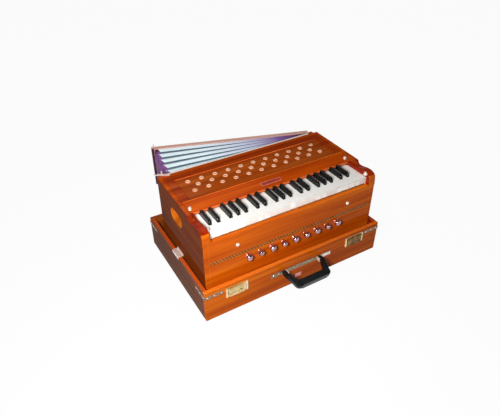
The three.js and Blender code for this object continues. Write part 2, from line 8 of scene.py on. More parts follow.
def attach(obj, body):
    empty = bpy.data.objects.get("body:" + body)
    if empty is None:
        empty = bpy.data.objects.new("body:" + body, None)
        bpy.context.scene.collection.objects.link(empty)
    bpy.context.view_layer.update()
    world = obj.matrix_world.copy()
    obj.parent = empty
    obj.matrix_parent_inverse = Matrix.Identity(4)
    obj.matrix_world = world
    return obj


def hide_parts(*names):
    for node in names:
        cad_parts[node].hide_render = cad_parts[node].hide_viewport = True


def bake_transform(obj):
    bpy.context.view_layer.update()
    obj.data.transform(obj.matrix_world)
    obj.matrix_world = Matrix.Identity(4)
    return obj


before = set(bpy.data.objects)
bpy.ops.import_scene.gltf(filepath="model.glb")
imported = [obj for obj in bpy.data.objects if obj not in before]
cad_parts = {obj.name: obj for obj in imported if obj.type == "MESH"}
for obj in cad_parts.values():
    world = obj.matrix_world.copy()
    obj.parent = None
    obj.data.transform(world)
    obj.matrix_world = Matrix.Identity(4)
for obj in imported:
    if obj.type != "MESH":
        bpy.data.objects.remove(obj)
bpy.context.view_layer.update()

scene = bpy.context.scene

# Places in millimetres, as the case maker measures them
MM = 0.001
SUNK = 0.1  # Fittings sink this far into the wood, so that no gap shows
TRAY_HALF = 320
TRAY_BACK = 209
TRAY_FRONT = -TRAY_BACK
TRAY_WALL = 12
TRAY_FLOOR = 8
TRAY_HEIGHT = 110
LATCH_X = 218
LATCH_PIN_Y, LATCH_PIN_Z = -213.3, 92
BODY_HALF = 302
BODY_FRONT = -181
BODY_BACK = 126
KEY_SLOT_HALF = 272.5
CHEEK_INNER = KEY_SLOT_HALF + 4
CHEEK_FOOT = 262
HOLE_FRONT, HOLE_BACK = -47, 37
HOLE_LOW, HOLE_HIGH = 213, 259
SHOULDER = -91
SHOULDER_TOP = 297.5
BACK_RISE = 7
COVER_FRONT = -72.5
COVER_FLAT = -30
STRIP_LOW = 285
FIELD_RECESS = 3
FIELD_HALF = 262.4
FIELD_FRONT, FIELD_BACK = -26.8, 85.5
BED_TOP = 242
KEY_BOTTOM = 252.5
WHITE_TOP = KEY_BOTTOM + 22.5
BLACK_TOP = WHITE_TOP + 13.5
LEVER_TOP = KEY_BOTTOM + 15.5
LIP_BOTTOM = WHITE_TOP + 3.5
KEY_TAIL = 60
WHITE_CAP_END = -63.5
BLACK_CAP_END = -75.5
BLACK_NOSE = -134
HEAD_FOOT = 256
FULCRUM = -35
HINGE_X = 284
HINGE_Y = 151
HINGE_HEIGHTS = (180, 270)
BELLOWS_OPENING = radians(18)
BELLOWS_BOTTOM = 156
BELLOWS_TOP = 297
BOARD_WRAP = -238
STOP_HEIGHT = 161
STOP_SHIFT = -4.5
STOP_PITCH = 40
HANDLE_CENTRE = Vector((10, -219.28, 69))


def top_at(y):
    """Height of the case's top line, which climbs from the shoulder to the back."""
    return SHOULDER_TOP + BACK_RISE * (y - SHOULDER) / (BODY_BACK - SHOULDER)


STRIP_SLOPE = atan2(top_at(COVER_FLAT) - STRIP_LOW, COVER_FLAT - COVER_FRONT)
FIELD_SLOPE = atan2(BACK_RISE, BODY_BACK - SHOULDER)


def strip_at(y):
    """Height of the cover's sloping front strip."""
    return STRIP_LOW + (y - COVER_FRONT) * tan(STRIP_SLOPE)


# Materials
def linear(colour):
    """The linear colour of an sRGB hex value."""
    channels = [int(colour[i:i + 2], 16) / 255 for i in (1, 3, 5)]
    return [c / 12.92 if c <= 0.04045 else ((c + 0.055) / 1.055) ** 2.4 for c in channels] + [1.0]


def add(tree, kind, inputs=None, stops=None, **settings):
    """Adds a node with its settings, its links or values, and the stops of a colour ramp."""
    made = tree.nodes.new(kind)
    for name, value in settings.items():
        setattr(made, name, value)
    for name, value in (inputs or {}).items():
        if isinstance(value, bpy.types.NodeSocket):
            tree.links.new(value, made.inputs[name])
        else:
            made.inputs[name].default_value = value
    for index, (place, colour) in enumerate(stops or []):
        elements = made.color_ramp.elements
        stop = elements[index] if index < 2 else elements.new(place)
        stop.position = place
        stop.color = linear(colour)
    return made


def new_material(name, **constants):
    """A material with one Principled shader, whose constants sit on its own sockets."""
    material = bpy.data.materials.new(name)
    material.use_nodes = True
    tree = material.node_tree
    shader = tree.nodes["Principled BSDF"]
    for socket, value in constants.items():
        shader.inputs[socket.replace("_", " ").title().replace("Ior", "IOR")].default_value = value
    return material, tree, shader


def relief(tree, shader, height, depth_mm, strength):
    """Makes a pattern of the given depth show as unevenness in the surface."""
    bump = add(tree, "ShaderNodeBump", {"Height": height, "Distance": depth_mm * MM, "Strength": strength})
    tree.links.new(bump.outputs["Normal"], shader.inputs["Normal"])


def pattern(tree, sizes_mm, turn=0.0, inputs=None):
    """Noise whose features have the given sizes along x, y and z, in millimetres."""
    where = add(tree, "ShaderNodeTexCoord").outputs["Object"]
    turned = add(tree, "ShaderNodeMapping", {"Vector": where, "Rotation": (0, 0, turn)})
    scaled = add(tree, "ShaderNodeMapping", {
        "Vector": turned.outputs["Vector"],
        "Scale": [1 / (size * MM) for size in sizes_mm],
    })
    settings = {"Vector": scaled.outputs["Vector"], "Scale": 1.0, **(inputs or {})}
    return add(tree, "ShaderNodeTexNoise", settings)


def lacquered_wood(name, dark, middle, light, grain, turn=0.0, gloss=0.07, coat=0.25):
    """Teak under clear lacquer: soft straight figure, darker pores and a thin shine over them.

    The pores are drawn 0.7 mm wide, about three times the real ones, so that they show.
    """
    material, tree, shader = new_material(name, roughness=0.6, specular_ior_level=0.0, coat_weight=coat,
                                          coat_roughness=gloss)

    def noise(along, across, **inputs):
        sizes = [along if axis == grain else across for axis in "xyz"]
        return pattern(tree, sizes, turn, inputs).outputs["Fac"]

    figure = noise(520, 24, Detail=3.0, Roughness=0.5, Distortion=0.4)
    streaks = noise(190, 3.4, Detail=2.0, Roughness=0.55)
    pores = noise(16, 0.7, Detail=1.0)
    patches = noise(340, 120, Detail=1.0)
    mixed = add(tree, "ShaderNodeMath", {0: streaks, 1: 0.35, 2: 0.0}, operation="MULTIPLY_ADD")
    both = add(tree, "ShaderNodeMath", {0: figure, 1: 0.65, 2: mixed.outputs[0]}, operation="MULTIPLY_ADD")
    body = add(tree, "ShaderNodeValToRGB", {"Fac": both.outputs[0]},
               stops=[(0.3, dark), (0.7, light), (0.5, middle)])
    shade = add(tree, "ShaderNodeMapRange", {
        "Value": patches, "From Min": 0.35, "From Max": 0.65, "To Min": 0.0, "To Max": 0.25,
    })
    shaded = add(tree, "ShaderNodeMix", {
        0: shade.outputs["Result"], 6: body.outputs["Color"], 7: linear(dark),
    }, data_type="RGBA")
    pore = add(tree, "ShaderNodeMapRange", {
        "Value": pores, "From Min": 0.6, "From Max": 0.74, "To Min": 0.0, "To Max": 0.3,
    })
    colour = add(tree, "ShaderNodeMix", {
        0: pore.outputs["Result"], 6: shaded.outputs[2], 7: linear(dark),
    }, data_type="RGBA")
    tree.links.new(colour.outputs[2], shader.inputs["Base Color"])
    relief(tree, shader, streaks, 0.08, 0.3)
    return material


def plated(name, colour, tint, roughness, size_mm=2.0, metal=1.0):
    """Plate over steel or brass: even metal with faint cloudy wear and fine rubbing marks."""
    material, tree, shader = new_material(name, metallic=metal)
    wear = pattern(tree, (size_mm * 6,) * 3, inputs={"Detail": 3.0})
    marks = pattern(tree, (size_mm, size_mm * 0.2, size_mm * 0.4), inputs={"Detail": 2.0})
    body = add(tree, "ShaderNodeValToRGB", {"Fac": wear.outputs["Fac"]}, stops=[(0.35, tint), (0.65, colour)])
    tree.links.new(body.outputs["Color"], shader.inputs["Base Color"])
    rough = add(tree, "ShaderNodeMapRange", {
        "Value": marks.outputs["Fac"], "To Min": roughness * 0.7, "To Max": roughness * 1.5,
    })
    tree.links.new(rough.outputs["Result"], shader.inputs["Roughness"])
    relief(tree, shader, marks.outputs["Fac"], 0.02, 0.2)
    return material


def moulded(name, colour, tint, roughness, grain_mm, depth_mm, ior=1.5):
    """Plastic: one body colour that drifts a little, with the mould's texture in its skin."""
    material, tree, shader = new_material(name, ior=ior)
    cloud = pattern(tree, (30, 30, 30), inputs={"Detail": 2.0})
    skin = pattern(tree, (grain_mm,) * 3, inputs={"Detail": 2.0})
    body = add(tree, "ShaderNodeValToRGB", {"Fac": cloud.outputs["Fac"]}, stops=[(0.3, tint), (0.7, colour)])
    tree.links.new(body.outputs["Color"], shader.inputs["Base Color"])
    rough = add(tree, "ShaderNodeMapRange", {
        "Value": skin.outputs["Fac"], "To Min": roughness * 0.75, "To Max": roughness * 1.3,
    })
    tree.links.new(rough.outputs["Result"], shader.inputs["Roughness"])
    relief(tree, shader, skin.outputs["Fac"], depth_mm, 0.4)
    return material


def cloth(name, colour, tint, thread_mm, sheen=0.3, depth_mm=0.15):
    """Woven or felted wool, cotton, card and leather: dull, soft at grazing angles, thread by thread.

    Threads are drawn about twice as wide as the real ones, so that they show.
    """
    material, tree, shader = new_material(name, roughness=0.85, sheen_weight=sheen, sheen_roughness=0.5)
    cloud = pattern(tree, (14, 14, 14), inputs={"Detail": 3.0})
    threads = pattern(tree, (thread_mm,) * 3, inputs={"Detail": 2.0, "Roughness": 0.7})
    drift = add(tree, "ShaderNodeMath", {0: threads.outputs["Fac"], 1: 0.5, 2: 0.0}, operation="MULTIPLY_ADD")
    both = add(tree, "ShaderNodeMath", {0: cloud.outputs["Fac"], 1: 0.5, 2: drift.outputs[0]},
               operation="MULTIPLY_ADD")
    body = add(tree, "ShaderNodeValToRGB", {"Fac": both.outputs[0]}, stops=[(0.38, tint), (0.62, colour)])
    tree.links.new(body.outputs["Color"], shader.inputs["Base Color"])
    relief(tree, shader, threads.outputs["Fac"], depth_mm, 0.6)
    return material


def card_shaded_to_hinge(name, thread_mm, depth_mm):
    """Bellows card, pale blue at the free end, painted darker through lavender to purple towards the hinge as
    shade.
    """
    material, tree, shader = new_material(name, roughness=0.85)
    place = add(tree, "ShaderNodeSeparateXYZ", {0: add(tree, "ShaderNodeTexCoord").outputs["Object"]})
    along = add(tree, "ShaderNodeMapRange", {
        "Value": place.outputs["X"], "From Min": -100 * MM, "From Max": HINGE_X * MM,
    })
    threads = pattern(tree, (thread_mm,) * 3, inputs={"Detail": 2.0, "Roughness": 0.7})
    drift = add(tree, "ShaderNodeMath", {0: threads.outputs["Fac"], 1: 0.1, 2: along.outputs["Result"]},
                operation="MULTIPLY_ADD")
    body = add(tree, "ShaderNodeValToRGB", {"Fac": drift.outputs[0]},
               stops=[(0.05, "#e2f2f8"), (0.98, "#5a2440"), (0.42, "#c8cee4"), (0.76, "#7e5898")])
    tree.links.new(body.outputs["Color"], shader.inputs["Base Color"])
    relief(tree, shader, threads.outputs["Fac"], depth_mm, 0.6)
    return material


def rope_marquetry(name, dark, light, pitch_mm):
    """Veneer line of slanting dark and pale blocks, polished flat under the lacquer."""
    material, tree, shader = new_material(name, roughness=0.5, specular_ior_level=0.05, coat_weight=0.25,
                                          coat_roughness=0.07)
    where = add(tree, "ShaderNodeTexCoord").outputs["Object"]
    slanted = add(tree, "ShaderNodeMapping", {"Vector": where, "Rotation": (0, radians(38), 0)})
    one_band = 0.314  # The scale at which a wave texture repeats once over a unit of length
    bands = add(tree, "ShaderNodeTexWave", {
        "Vector": slanted.outputs["Vector"], "Scale": one_band / (pitch_mm * MM),
        "Distortion": 0.6, "Detail": 1.0,
    }, wave_type="BANDS", bands_direction="X")
    drift = pattern(tree, (35, 6, 6), inputs={"Detail": 2.0})
    both = add(tree, "ShaderNodeMath", {0: drift.outputs["Fac"], 1: 1.6, 2: -0.8}, operation="MULTIPLY_ADD")
    blocks = add(tree, "ShaderNodeMath", {0: bands.outputs["Fac"], 1: both.outputs[0]}, operation="ADD")
    body = add(tree, "ShaderNodeValToRGB", {"Fac": blocks.outputs[0]}, stops=[(0.3, dark), (0.75, light)])
    tree.links.new(body.outputs["Color"], shader.inputs["Base Color"])
    return material


# Lacquered teak of the case and cover: orange in front, darker at the sides as painted shade, redder on the
# cheeks and the cover's frame, paler on the lip and beads as painted highlight (on the front beads also the
# lighter end grain), and softer in shine on top so that a lamp leaves no hard patch
WOOD_FRONT = lacquered_wood("teak_front", "#a83c04", "#d86208", "#f28016", "x", coat=0.15)
WOOD_SIDE_SHADED = lacquered_wood("teak_side_painted_shade", "#60240a", "#823a12", "#944c1e", "y", coat=0.08)
WOOD_CHEEK = lacquered_wood("teak_cheek", "#761a04", "#9c2a06", "#b43e0c", "y", coat=0.3)
WOOD_TOP = lacquered_wood("teak_top", "#8e2e04", "#bc4806", "#da6a10", "x", gloss=0.16, coat=0.15)
WOOD_BORDER = lacquered_wood("teak_cover_frame", "#741e02", "#a03804", "#bc540c", "x", gloss=0.16, coat=0.2)
WOOD_LIP_HIGHLIGHT = lacquered_wood("teak_cover_lip_painted_highlight", "#c04818", "#e67034", "#f8884c", "x", coat=0.15)
WOOD_BEAD_HIGHLIGHT = lacquered_wood("teak_bead_painted_highlight", "#b45010", "#e07020", "#f08834", "x", coat=0.15)
WOOD_FIELD = lacquered_wood("teak_field", "#803006", "#a6480e", "#bc5e20", "x", gloss=0.16, coat=0.2)
WOOD_BACK = lacquered_wood("teak_back", "#6a2a0c", "#9c4c1a", "#b8642a", "x")
# Darker teak inside the case and tray and under the cover: painted shade
WOOD_INNER_SHADE = lacquered_wood("teak_inner_painted_shade", "#7c2c08", "#a84c14", "#c46824", "x", gloss=0.3)
WOOD_HOLE = lacquered_wood("teak_hand_hole", "#a84808", "#d07018", "#e88c30", "z")
# The bellows board, pale inside and at its bare edges and brown outside, with grain along the opened board
WOOD_BOARD = lacquered_wood("teak_bellows_board", "#b87c6c", "#e0b0a0", "#f0c8b8", "x", BELLOWS_OPENING)
WOOD_BOARD_BACK = lacquered_wood("teak_board_back", "#6a2a0c", "#9c4c1a", "#b8642a", "x", BELLOWS_OPENING)
# Lacquered teak of the tray: orange in front with a paler rim that is a painted highlight, and darker, greyer
# sides that are painted shade and painted reflection
WOOD_TRAY = lacquered_wood("teak_tray_front", "#ac4206", "#d86208", "#f08218", "x", coat=0.15)
WOOD_TRAY_RIM_HIGHLIGHT = lacquered_wood("teak_tray_rim_painted_highlight", "#c85410", "#ee7a20", "#ff9a3c", "x", coat=0.15)
WOOD_TRAY_EDGE = lacquered_wood("teak_tray_side_rim", "#9c3408", "#c85018", "#e06a28", "y")
WOOD_TRAY_SIDE_SHADED = lacquered_wood("teak_tray_side", "#744230", "#8c5a46", "#a06c56", "y", coat=0.08)
# Sanded pine, nearly matt, of the key levers and the spring rail
WOOD_LEVER = lacquered_wood("pine_lever", "#8c6238", "#b88c56", "#caa070", "y", gloss=0.5)
# Nickel plate, mirror-like on the stops' knobs and tinted pink there as a painted reflection of the orange
# wood, satin or worn elsewhere, a pink rosette whose pink is a painted reflection of the wood, and dull steel
NICKEL = plated("nickel_polished", "#f4ece6", "#dcd2cc", 0.16)
NICKEL_KNOB_PINK_REFLECTION = plated("nickel_knob_painted_reflection", "#cca8b0", "#ac8890", 0.14)
NICKEL_SATIN = plated("nickel_satin", "#fceae0", "#ecd2c4", 0.4, metal=0.55)
NICKEL_DULL = plated("nickel_worn", "#a89880", "#86765e", 0.45, 1.2)
ROSETTE_PINK_REFLECTION = plated("rosette_painted_pink_reflection", "#e8a090", "#c87868", 0.3)
STEEL = plated("steel_strap", "#b09478", "#846850", 0.5, 1.0, 0.5)
# Brushed brass sheet, mottled by wear and brighter on raised ends, a darker brass on the right flap as
# painted shade, and bright steel spring wire
BRASS = plated("brass_pale", "#f6dca6", "#c2a870", 0.5, 3.0, 0.7)
BRASS_SHADED = plated("brass_painted_shade", "#a8844e", "#6e4c26", 0.45, 2.5, 0.7)
BRASS_BRIGHT = plated("brass_bright", "#ffeccc", "#f0d8a4", 0.45, 1.5, 0.7)
SPRING = plated("spring_wire", "#c8c8c4", "#a0a09c", 0.25, 0.8)
# Acrylic and phenolic key caps with a polished skin, an ABS grip with a fine mould grain, waxy bone, and
# enamel that shines a little less than the keys
ACRYLIC = moulded("acrylic_white", "#fffdf8", "#faf6f0", 0.14, 6.0, 0.02, 1.49)
PHENOLIC = moulded("phenolic_black", "#070708", "#040405", 0.18, 4.0, 0.02, 1.4)
HANDLE_BLACK = moulded("abs_black", "#0a1214", "#060a0c", 0.34, 0.5, 0.05, 1.42)
BONE = moulded("bone_cream", "#f2bc98", "#d8946e", 0.25, 1.5, 0.03, 1.5)
ENAMEL_RED = moulded("enamel_red", "#a03424", "#822618", 0.2, 2.0, 0.02)
ENAMEL_PINK = moulded("enamel_pink", "#faac9c", "#ea8c7c", 0.3, 2.0, 0.02)
ENAMEL_ROSE = moulded("enamel_rose", "#d07c6c", "#b8604f", 0.3, 2.0, 0.02)
# Card, cotton gussets and paper tape of the bellows, wool felt and the pallets' leather, all dull
CARD_NEAR = cloth("card_pale_blue", "#e6f6fa", "#d2ebf2", 0.8, 0.0, 0.04)
# This card is painted darker towards the hinge as shade
CARD_SHADED_TO_HINGE = card_shaded_to_hinge("card_blue_painted_shade", 0.8, 0.04)
# Teal painted shade for the bottoms of the valleys
TEAL_VALLEY_SHADE = cloth("valley_painted_shade", "#5a7280", "#435a68", 0.7, 0.2, 0.1)
CLOTH_PURPLE = cloth("gusset_purple", "#8c4e98", "#653670", 0.7, 0.4, 0.12)
# Dark maroon painted shade for the gusset's edges and the board's free end
MAROON_EDGE_SHADE = cloth("edge_maroon_painted_shade", "#541c44", "#38102e", 0.7, 0.1, 0.12)
TAPE_CREAM = cloth("tape_cream", "#fcf4ea", "#efe2d2", 0.6, 0.1, 0.08)
FELT_RED = cloth("felt_red", "#7a1420", "#4e0c14", 0.5, 0.4, 0.2)
LEATHER = cloth("pallet_leather", "#c8b08c", "#a88f6a", 0.9, 0.1, 0.1)
# Dark and paler veneer blocks, which read as a twisted rope along the front
ROPE = rope_marquetry("rope_marquetry", "#8a4414", "#b4702c", 8.0)


# Shapes, drawn in millimetres
def round_edges(mesh, width, segments=2, sharp=30, where=None, clamp=True):
    """Rounds every edge, or those that a test picks out, that is sharper than the given angle."""
    edges = [e for e in mesh.edges if e.is_manifold and e.calc_face_angle() > radians(sharp)
             and (where is None or all(where(vert.co) for vert in e.verts))]
    bmesh.ops.bevel(mesh, geom=edges, offset=width, segments=segments, profile=0.5, material=-1,
                    affect="EDGES", clamp_overlap=clamp)
    return mesh


def block(corner, opposite, edge=0.8, segments=2):
    """A squared board or plate between two opposite corners, with rounded edges."""
    mesh = bmesh.new()
    bmesh.ops.create_cube(mesh, size=1)
    size = [abs(b - a) for a, b in zip(corner, opposite)]
    middle = [(a + b) / 2 for a, b in zip(corner, opposite)]
    bmesh.ops.scale(mesh, vec=size, verts=mesh.verts)
    bmesh.ops.translate(mesh, vec=middle, verts=mesh.verts)
    return round_edges(mesh, edge, segments)


def turned(profile, steps=32):
    """A (radius, height) profile turned about the z axis."""
    mesh = bmesh.new()
    chain = [mesh.verts.new((radius, 0, height)) for radius, height in profile]
    edges = [mesh.edges.new(pair) for pair in zip(chain, chain[1:])]
    bmesh.ops.spin(mesh, geom=chain + edges, cent=(0, 0, 0), axis=(0, 0, 1), angle=2 * pi, steps=steps,
                   use_merge=True)
    bmesh.ops.remove_doubles(mesh, verts=mesh.verts, dist=1e-4)
    bmesh.ops.recalc_face_normals(mesh, faces=mesh.faces)
    return mesh


def moved(mesh, place=(0, 0, 0), turn=(0, 0, 0)):
    """Turns a shape about x, then y, then z, and sets it in its place."""
    for angle, axis in zip(turn, "XYZ"):
        bmesh.ops.rotate(mesh, cent=(0, 0, 0), matrix=Matrix.Rotation(angle, 3, axis), verts=mesh.verts)
    bmesh.ops.translate(mesh, vec=place, verts=mesh.verts)
    return mesh


def painted(mesh, index):
    """Gives every face one of the piece's finishes, by its number in their list."""
    for face in mesh.faces:
        face.material_index = index
    return mesh


def gathered(parts):
    """One mesh of several shapes."""
    whole = bmesh.new()
    for part in parts:
        data = bpy.data.meshes.new("part")
        part.to_mesh(data)
        part.free()
        whole.from_mesh(data)
        bpy.data.meshes.remove(data)
    return whole


def wire(points, radius):
    """A bent wire through the given points."""
    curve = bpy.data.curves.new("wire", "CURVE")
    curve.dimensions = "3D"
    curve.bevel_depth = radius
    curve.bevel_resolution = 2
    curve.use_fill_caps = True
    spline = curve.splines.new("POLY")
    spline.points.add(len(points) - 1)
    for point, place in zip(spline.points, points):
        point.co = (*place, 1)
    holder = bpy.data.objects.new("wire", curve)
    mesh = bmesh.new()
    mesh.from_mesh(holder.to_mesh())
    bpy.data.objects.remove(holder)
    bpy.data.curves.remove(curve)
    bmesh.ops.recalc_face_normals(mesh, faces=mesh.faces)
    return mesh


def lofted(rings):
    """A closed skin over rings of points, one ring after another."""
    mesh = bmesh.new()
    rows = [[mesh.verts.new(point) for point in ring] for ring in rings]
    for row, following in zip(rows, rows[1:]):
        for index in range(len(row)):
            after = (index + 1) % len(row)
            mesh.faces.new((row[index], row[after], following[after], following[index]))
    mesh.faces.new(reversed(rows[0]))
    mesh.faces.new(rows[-1])
    bmesh.ops.recalc_face_normals(mesh, faces=mesh.faces)
    return mesh


def cad_copy(node, cuts=(), paint=None):
    """A copy of a CAD node's solid with its flat faces joined up, split at the given planes and painted."""
    mesh = bmesh.new()
    mesh.from_mesh(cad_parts[node].data)
    bmesh.ops.scale(mesh, vec=(1 / MM,) * 3, verts=mesh.verts)
    bmesh.ops.remove_doubles(mesh, verts=mesh.verts, dist=0.01)
    bmesh.ops.dissolve_limit(mesh, angle_limit=radians(1), verts=mesh.verts, edges=mesh.edges)
    for axis, place in cuts:
        normal = [float(name == axis) for name in "xyz"]
        geom = mesh.verts[:] + mesh.edges[:] + mesh.faces[:]
        bmesh.ops.bisect_plane(mesh, geom=geom, plane_co=Vector(normal) * place, plane_no=normal, dist=0.01)
    for face in mesh.faces:
        face.material_index = paint(face) if paint else 0
    return mesh


def finished(mesh, name, materials, sharp):
    """An object in metres, smooth but for the edges that are sharper than the given angle."""
    bmesh.ops.scale(mesh, vec=(MM,) * 3, verts=mesh.verts)
    for face in mesh.faces:
        face.smooth = True
    for edge in mesh.edges:
        edge.smooth = edge.is_manifold and edge.calc_face_angle() < radians(sharp)
    data = bpy.data.meshes.new(name)
    mesh.to_mesh(data)
    mesh.free()
    for material in materials:
        data.materials.append(material)
    made = bpy.data.objects.new(name, data)
    scene.collection.objects.link(made)
    return made


def piece(mesh, name, materials, body, replaces=None, sharp=40):
    """Makes a shape a piece of the object that rides on a body."""
    made = finished(mesh, name, materials, sharp)
    shading = made.modifiers.new("even_shading", "WEIGHTED_NORMAL")
    shading.keep_sharp = True
    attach(made, body)
    if replaces:
        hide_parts(replaces)


# Screws
def screw_head(radius=2.4, height=1.1):
    """A slotted dome head that looks along +z."""
    dome = [(0, height), (radius * 0.5, height * 0.9), (radius * 0.85, height * 0.5), (radius, 0), (0, -0.2)]
    head = turned(dome, 20)
    slot = block((-radius * 0.8, -0.25, height * 0.7), (radius * 0.8, 0.25, height * 1.02), 0.05, 1)
    return gathered([painted(head, 0), painted(slot, 1)])


FACE_FRONT = (radians(90), 0, 0)
FACE_LEFT = (0, radians(-90), 0)
FACE_RIGHT = (0, radians(90), 0)
FACE_BACK = (radians(-90), 0, 0)


# Base tray
def build_tray():
    """Four boards and a bottom, with felt pads on which the lowered case lands."""
    inner, front_in, back_in = TRAY_HALF - TRAY_WALL, TRAY_FRONT + TRAY_WALL, TRAY_BACK - TRAY_WALL
    rim, pad_half, pad_deep, pad_felt = 1.5, 20, 12, 1.4
    front = block((-TRAY_HALF, TRAY_FRONT, 0), (TRAY_HALF, front_in, TRAY_HEIGHT), 1.8, 4)
    # The top band of the front board is painted paler as a highlight along the rim
    for face in front.faces:
        face.material_index = int(face.calc_center_median().z > TRAY_HEIGHT - rim)
    piece(front, "tray_front", [WOOD_TRAY, WOOD_TRAY_RIM_HIGHLIGHT], "tray", "base_tray")
    back = block((-TRAY_HALF, back_in, 0), (TRAY_HALF, TRAY_BACK, TRAY_HEIGHT), 1.5, 3)
    piece(back, "tray_back", [WOOD_BACK], "tray")
    for side, name in ((-1, "tray_left"), (1, "tray_right")):
        board = block((side * inner, front_in, 0), (side * TRAY_HALF, back_in, TRAY_HEIGHT), 1.4, 3)
        for face in board.faces:
            # Outer faces take the darker, greyer side teak as painted shade and painted reflection; inner
            # faces and ends take the dark cheek teak as painted shade
            outer = face.normal.x * side > 0.7
            face.material_index = 0 if outer else 2 if face.normal.z > 0.3 else 1
        piece(board, name, [WOOD_TRAY_SIDE_SHADED, WOOD_CHEEK, WOOD_TRAY_EDGE], "tray")
    bottom = block((-inner, front_in, 0), (inner, back_in, TRAY_FLOOR), 0.3, 1)
    # The tray's bottom is in the darker inner teak: painted shade
    piece(bottom, "tray_bottom", [WOOD_INNER_SHADE], "tray")
    pad_top = TRAY_FLOOR + pad_felt
    pads = [block((x - pad_half, y - pad_deep, TRAY_FLOOR), (x + pad_half, y + pad_deep, pad_top), 0.4)
            for x in (-240, 240) for y in (-150, 90)]
    piece(gathered(pads), "landing_pads", [FELT_RED], "tray")


def build_straps():
    """Thin steel angles round the tray's corners, with three screws along each leg."""
    leg, low, high, sheet = 60, 85, 96, 0.9
    height = (low + high) / 2
    straps, screws = [], []
    for sx, turn_x in ((-1, FACE_LEFT), (1, FACE_RIGHT)):
        for sy, turn_y in ((-1, FACE_FRONT), (1, FACE_BACK)):
            x, y = sx * TRAY_HALF, sy * TRAY_BACK
            outer_x, outer_y = x + sx * sheet, y + sy * sheet
            straps.append(block((outer_x, y, low), (x - sx * leg, outer_y, high), 0.3))
            straps.append(block((x, outer_y, low), (outer_x, y - sy * leg, high), 0.3))
            for reach in (8, 30, 52):
                screws.append(moved(screw_head(), (x - sx * reach, outer_y, height), turn_y))
                screws.append(moved(screw_head(), (outer_x, y - sy * reach, height), turn_x))
    piece(gathered(straps), "corner_straps", [STEEL], "tray")
    piece(gathered(screws), "strap_screws", [NICKEL_SATIN, STEEL], "tray")


def build_side_catches():
    """Bent nickel plates on the tray's rims that steady the raised case."""
    front, back, sheet, rise, drop, screw_inset = -32, 12, 1.5, 6, 7, 7
    top = TRAY_HEIGHT + sheet
    plates, screws = [], []
    for side in (-1, 1):
        lip, outer = side * (BODY_HALF + 0.5), side * TRAY_HALF
        plates.append(block((lip, front, TRAY_HEIGHT), (outer + side * 0.8, back, top), 0.5))
        plates.append(block((lip, front, TRAY_HEIGHT), (lip + side * sheet, back, TRAY_HEIGHT + rise), 0.6))
        plates.append(block((outer, front, TRAY_HEIGHT - drop), (outer + side * sheet, back, top), 0.6))
        for y in (front + screw_inset, back - screw_inset):
            screws.append(moved(screw_head(2.6, 1.2), (side * 313, y, top)))
    piece(gathered(plates), "side_catches", [NICKEL_SATIN], "tray")
    piece(gathered(screws), "side_catch_screws", [NICKEL_DULL, PHENOLIC], "tray")


def build_handle_plate():
    """The long plate behind the handle, with a clip at each end and two ears that hold the pivots."""
    x, z = HANDLE_CENTRE.x, HANDLE_CENTRE.z
    half, rise, sheet = 113, 7.5, 2
    clip_at, clip_half, clip_rise, clip_sheet = 94, 17, 6.2, 0.9
    ear_in, ear_out, ear_deep, ear_rise = 56.2, 60.2, 6, 6.5
    face = TRAY_FRONT - sheet
    parts = [block((x - half, face, z - rise), (x + half, TRAY_FRONT + SUNK, z + rise), 0.8)]
    # The left clip is dull steel as painted shade, and the right one bright satin nickel as a painted glint
    for side, finish, turn in ((-1, 2, FACE_RIGHT), (1, 1, FACE_LEFT)):
        middle = x + side * clip_at
        clip = block((middle - clip_half, face - clip_sheet, z - clip_rise),
                     (middle + clip_half, face + 0.2, z + clip_rise), 0.5)
        ear = block((x + side * ear_in, HANDLE_CENTRE.y - ear_deep, z - ear_rise),
                    (x + side * ear_out, face + 0.5, z + ear_rise), 1.4, 3)
        rivet = turned([(0, 1.2), (2.0, 0.9), (3.0, 0), (0, -0.5)], 20)
        rivet = moved(rivet, (x + side * ear_in, HANDLE_CENTRE.y, z), turn)
        parts += [painted(clip, finish), painted(ear, 1), painted(rivet, 1)]
    piece(gathered(parts), "handle_plate", [NICKEL_DULL, NICKEL_SATIN, STEEL], "tray")
    on_clips, on_plate = (-104, -84, 84, 104), (-30, 30)
    places = [(at, face - clip_sheet) for at in on_clips] + [(at, face) for at in on_plate]
    screws = [moved(screw_head(), (x + at, y, z), FACE_FRONT) for at, y in places]
    piece(gathered(screws), "handle_plate_screws", [NICKEL, PHENOLIC], "tray")


def build_latch_plates():
    """The fixed half of each latch: a thin plate with two raised ends and a red eye."""
    low, high, half, sheet = 63, 97, 36, 1.2
    end_inner, end_screw, end_sheet, trim = 30.5, 33.2, 2.6, 0.5
    plates, screws = [], []
    face = TRAY_FRONT - sheet
    for x in (-LATCH_X, LATCH_X):
        plates.append(block((x - half, face, low), (x + half, TRAY_FRONT + SUNK, high), 0.5))
        for end in (-1, 1):
            raised = block((x + end * end_inner, face - end_sheet, low + trim),
                           (x + end * half, face + 0.2, high - trim), 1.0, 3)
            plates.append(painted(raised, 2))
            for z in (low + 7, high - 7):
                place = (x + end * end_screw, face - end_sheet, z)
                screws.append(moved(screw_head(1.8, 0.8), place, FACE_FRONT))
        eye = turned([(0, 0.9), (2.4, 0.8), (3.2, 0.2), (3.4, -0.4)], 20)
        plates.append(painted(moved(eye, (x + 12, face - 4.6, 79), FACE_FRONT), 1))
    piece(gathered(plates), "latch_plates", [BRASS, ENAMEL_RED, BRASS_BRIGHT], "tray")
    piece(gathered(screws), "latch_screws", [BRASS_BRIGHT, STEEL], "tray")


def build_small_plate():
    """A small bare enamelled plate under the handle."""
    half, low, high, border = 12, 23, 38, 1.2
    plate = block((-half, TRAY_FRONT - 0.8, low), (half, TRAY_FRONT + SUNK, high), 0.4)
    rim = block((-half - border, TRAY_FRONT - 0.5, low - border),
                (half + border, TRAY_FRONT + SUNK, high + border), 0.3)
    piece(gathered([plate, painted(rim, 1)]), "small_plate", [ENAMEL_PINK, ENAMEL_RED], "tray")


